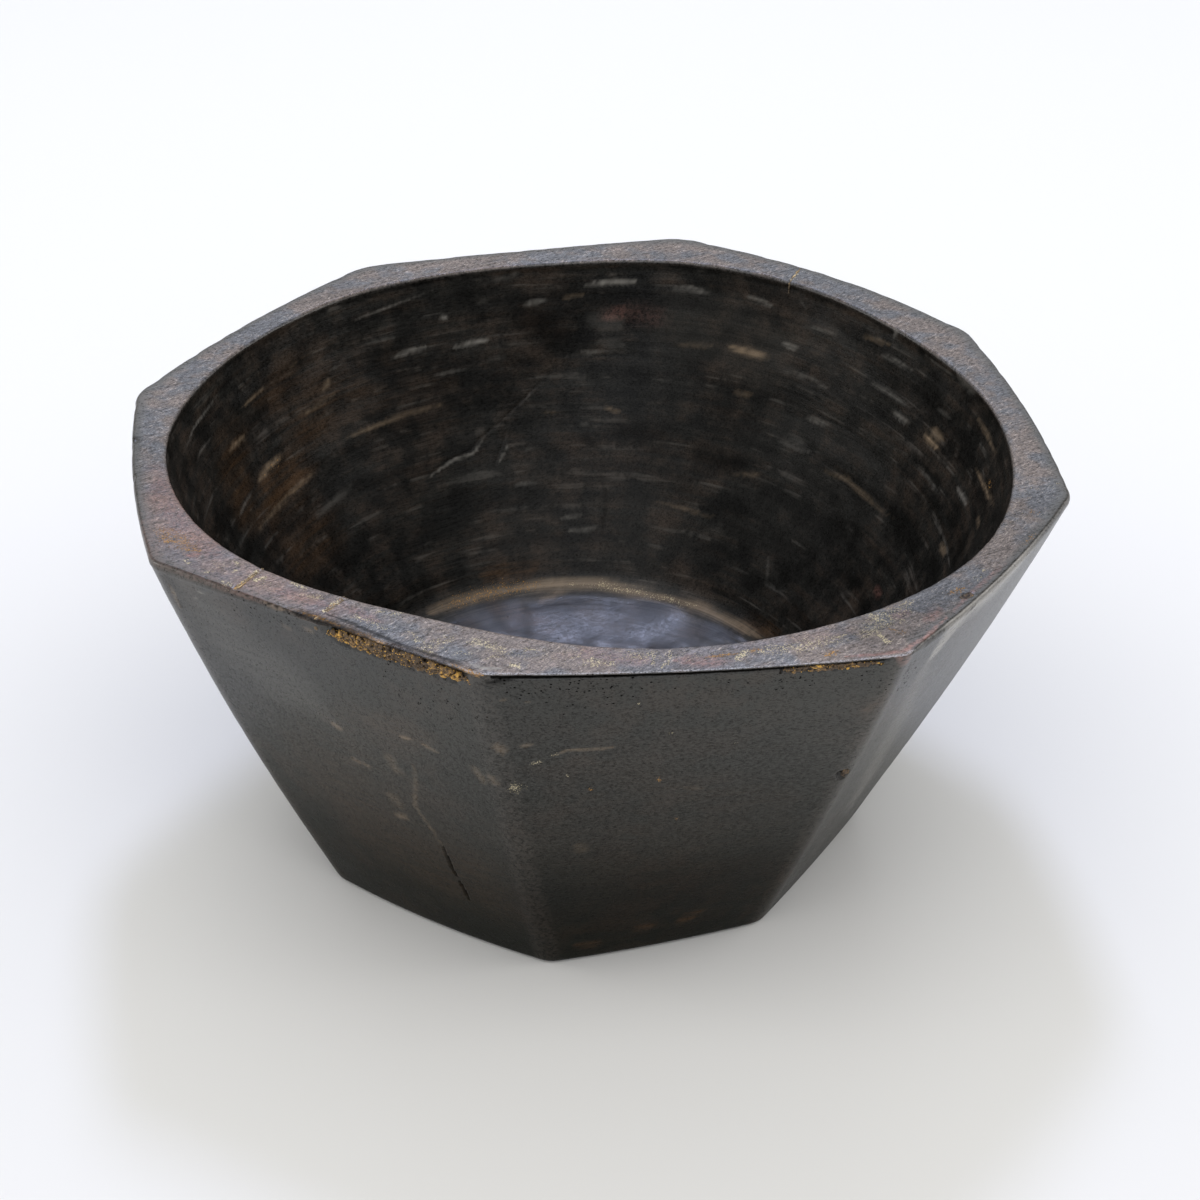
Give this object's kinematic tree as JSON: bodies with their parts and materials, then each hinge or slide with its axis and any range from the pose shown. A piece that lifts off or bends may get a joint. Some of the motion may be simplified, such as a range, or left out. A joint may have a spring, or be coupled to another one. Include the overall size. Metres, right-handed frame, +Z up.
{
  "type": "wooden curry bowl",
  "caption": "Deep hand-carved hardwood serving bowl, octagonal outside and round inside, with ochre fill in its checks and chips.",
  "frame": {"origin": "on the underside, below the middle of the outer box", "axes": "+Z up through the mouth, -Y towards the side that faces the viewer, +X to that viewer's right"},
  "size_m": [0.236, 0.2396, 0.109],
  "materials": {
    "hardwood": "dark oiled hardwood, satin on the rim and facets, glossier in the hollow, with fine diagonal grain and scrape marks",
    "ochre_fill": "matt granular ochre filler"
  },
  "bodies": {
    "root": {"bowl_body": "hardwood", "check_fill_left_1": "ochre_fill", "check_fill_left_2": "ochre_fill", "check_fill_back": "ochre_fill", "arris_fill_left": "ochre_fill", "arris_fill_front": "ochre_fill", "plug_right": "ochre_fill", "ridge_fill": "ochre_fill"}
  },
  "joints": []
}
